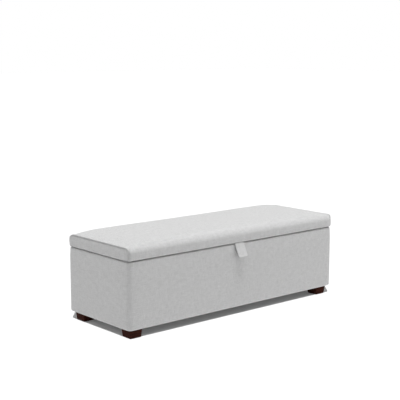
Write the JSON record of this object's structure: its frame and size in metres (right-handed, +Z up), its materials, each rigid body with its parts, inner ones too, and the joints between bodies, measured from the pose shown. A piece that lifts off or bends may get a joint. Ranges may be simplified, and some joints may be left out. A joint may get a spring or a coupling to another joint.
{
  "type": "storage bench",
  "caption": "Long upholstered box on short tapered block feet, with a padded lid that tips up on rear hinges by a front pull tab to open a storage space.",
  "frame": {"origin": "on the floor, below the middle of the whole outline with the lid shut and the tab hanging", "axes": "+X along the bench to the right as seen from the front, +Y to the rear where the hinges are, +Z up"},
  "size_m": [1.35, 0.5234, 0.4322],
  "materials": {
    "grey_weave": "light grey linen-look weave, matt",
    "walnut": "dark walnut stain, satin lacquer",
    "plywood": "raw birch plywood",
    "foam": "open-cell upholstery foam",
    "black_cloth": "thin non-woven lining, matt",
    "steel": "zinc-plated, brushed",
    "chrome": "polished",
    "black_paint": "satin black powder coat",
    "black_rubber": "matt"
  },
  "bodies": {
    "box": {"front_panel": "plywood", "back_panel": "plywood", "left_end_panel": "plywood", "right_end_panel": "plywood", "base_board": "plywood", "front_rail": "plywood", "back_rail": "plywood", "left_cross_rail": "plywood", "right_cross_rail": "plywood", "corner_blocks": "plywood", "carcass_screws": "steel", "front_pad": "foam", "back_pad": "foam", "left_pad": "foam", "right_pad": "foam", "box_cover": "grey_weave", "box_lining": "black_cloth", "dust_cover": "black_cloth", "foot_front_left": "walnut", "foot_front_right": "walnut", "foot_rear_left": "walnut", "foot_rear_right": "walnut", "foot_studs": "steel", "foot_inserts": "steel", "foot_glides": "black_rubber", "box_hinge_leaf_left": "steel", "box_hinge_leaf_middle": "steel", "box_hinge_leaf_right": "steel", "hinge_pins": "steel", "box_hinge_screws": "steel", "lid_bumpers": "black_rubber", "strut_bracket_left": "steel", "strut_bracket_right": "steel", "strut_bracket_screws": "steel"},
    "lid": {"lid_board": "plywood", "lid_foam": "foam", "lid_cover": "grey_weave", "lid_end_left": "grey_weave", "lid_end_right": "grey_weave", "lid_piping_left": "grey_weave", "lid_piping_right": "grey_weave", "lid_lining": "black_cloth", "lid_hinge_leaf_left": "steel", "lid_hinge_leaf_middle": "steel", "lid_hinge_leaf_right": "steel", "lid_hinge_screws": "steel", "lid_strut_bracket_left": "steel", "lid_strut_bracket_right": "steel", "lid_strut_bracket_screws": "steel", "tab_anchor": "grey_weave"},
    "tab": {"pull_tab": "grey_weave"},
    "strut_tube_left": {"strut_tube_left": "black_paint"},
    "strut_rod_left": {"strut_rod_left": "chrome"},
    "strut_tube_right": {"strut_tube_right": "black_paint"},
    "strut_rod_right": {"strut_rod_right": "chrome"}
  },
  "joints": [
    {"name": "lid_hinge", "type": "hinge", "parent": "box", "child": "lid", "pos_m": [0, 0.25772, 0.3645], "axis": [-1, 0, 0], "range_deg": [0, 85]},
    {"name": "tab_swing", "type": "hinge", "parent": "lid", "child": "tab", "pos_m": [0, -0.23728, 0.3643], "axis": [-1, 0, 0], "range_deg": [-16, 110], "stiffness_Nm_per_rad": 0.05},
    {"name": "strut_tilt_left", "type": "hinge", "parent": "box", "child": "strut_tube_left", "pos_m": [-0.629, 0.16272, 0.1195], "axis": [-1, 0, 0], "range_deg": [0, 22.72]},
    {"name": "strut_slide_left", "type": "slide", "parent": "strut_tube_left", "child": "strut_rod_left", "axis": [0, -0.2375, 0.9714], "range_m": [0, 0.16603]},
    {"name": "strut_tilt_right", "type": "hinge", "parent": "box", "child": "strut_tube_right", "pos_m": [0.629, 0.16272, 0.1195], "axis": [-1, 0, 0], "range_deg": [0, 22.72]},
    {"name": "strut_slide_right", "type": "slide", "parent": "strut_tube_right", "child": "strut_rod_right", "axis": [0, -0.2375, 0.9714], "range_m": [0, 0.16603]}
  ],
  "couplings": [
    {"joint": "strut_tilt_left", "follows": "lid_hinge", "ratio": 0.26716},
    {"joint": "strut_slide_left", "follows": "lid_hinge", "m_per_rad": 0.11185},
    {"joint": "strut_tilt_right", "follows": "lid_hinge", "ratio": 0.26716},
    {"joint": "strut_slide_right", "follows": "lid_hinge", "m_per_rad": 0.11185}
  ]
}
